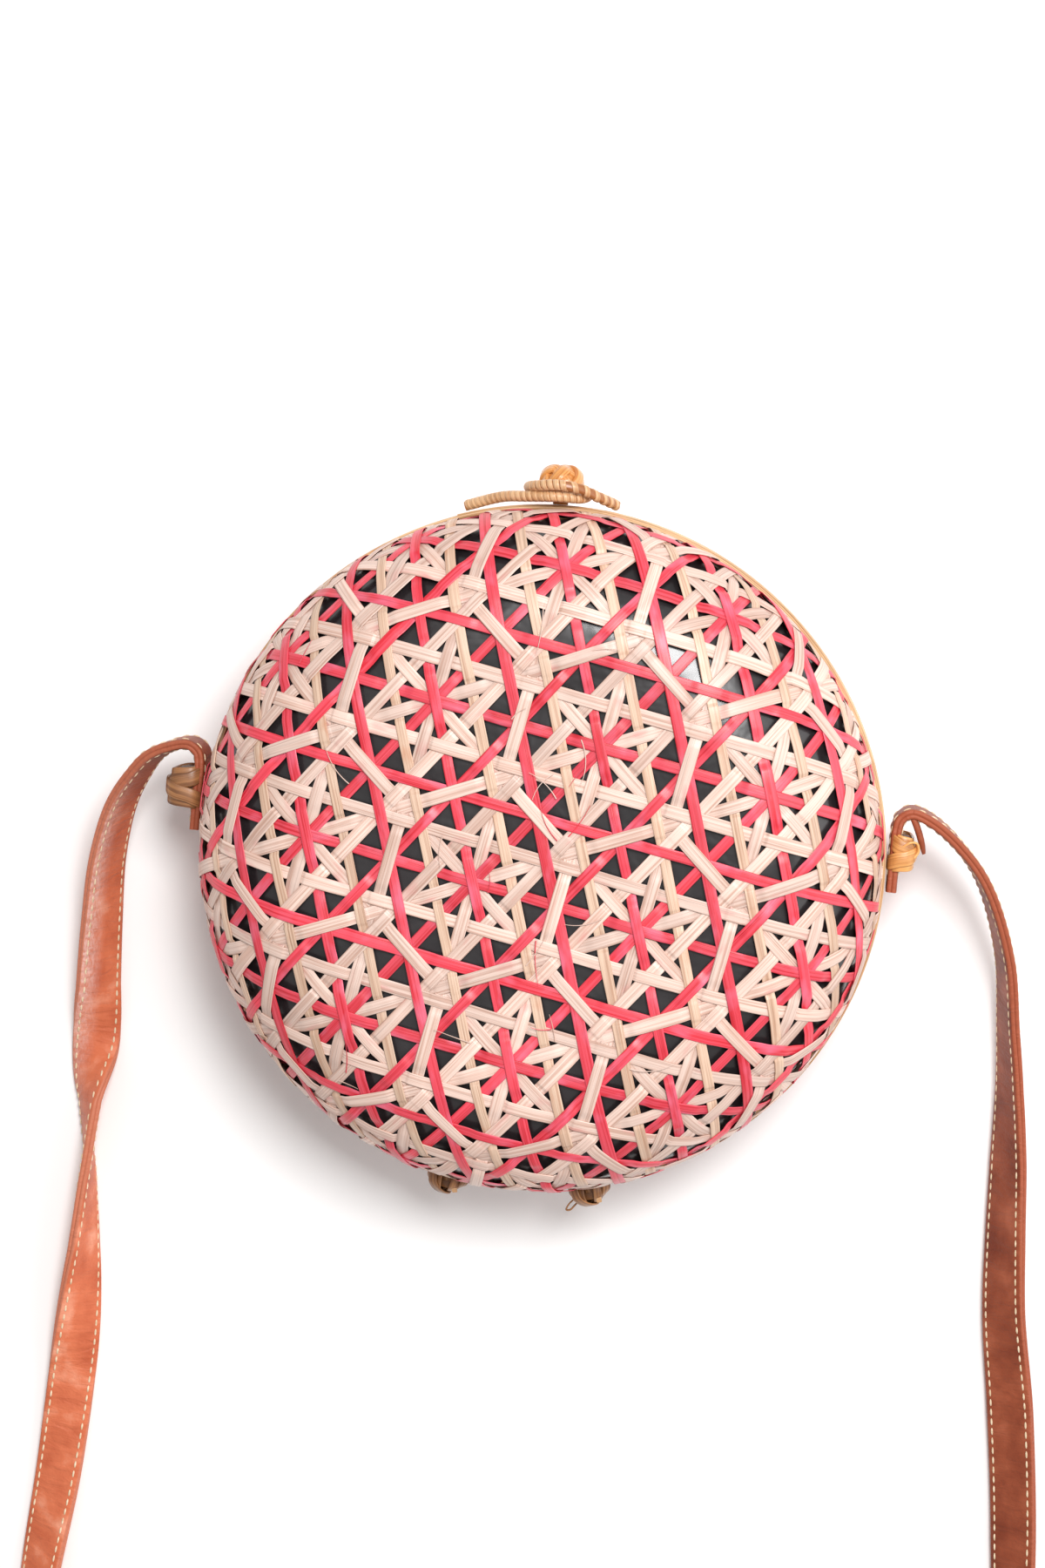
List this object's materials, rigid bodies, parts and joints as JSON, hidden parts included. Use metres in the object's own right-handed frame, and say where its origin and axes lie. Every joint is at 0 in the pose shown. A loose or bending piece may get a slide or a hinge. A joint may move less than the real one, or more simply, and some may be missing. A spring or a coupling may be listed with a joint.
{
  "type": "round woven crossbody bag",
  "caption": "Round clamshell bag of star-woven split cane with a dark lining, cane hoops, knob-and-loop clasp, lashed hinge and a long leather strap.",
  "frame": {"origin": "middle of the flat woven back face that the bag lies on", "axes": "+Z out of the front face, +Y from the lashed hinge to the clasp, +X to the right seen from the front"},
  "size_m": [0.3127, 0.5647, 0.08],
  "materials": {
    "woven_cane": "satin split cane, plain and dyed strips",
    "hoop_cane": "satin split cane",
    "lashing_cane": "satin brown cane",
    "knob_cane": "glossy amber cane",
    "lining": "smooth dark coated cloth",
    "strap_leather": "smooth tan leather with pale stitching"
  },
  "bodies": {
    "back_half": {"back_weave": "woven_cane", "back_lining": "lining", "back_hoop": "hoop_cane", "clasp_loop": "hoop_cane", "hinge_tie_left": "lashing_cane", "hinge_tie_right": "lashing_cane", "strap_knot_left": "lashing_cane", "strap_knot_right": "lashing_cane", "strap": "strap_leather"},
    "lid": {"front_weave": "woven_cane", "front_lining": "lining", "front_hoop": "hoop_cane", "knob": "knob_cane"}
  },
  "joints": [
    {"name": "lid_hinge", "type": "hinge", "parent": "back_half", "child": "lid", "pos_m": [0, -0.1003, 0.04], "axis": [1, 0, 0], "range_deg": [0, 90], "deforming": ["clasp_loop", "hinge_tie_left", "hinge_tie_right"]}
  ]
}
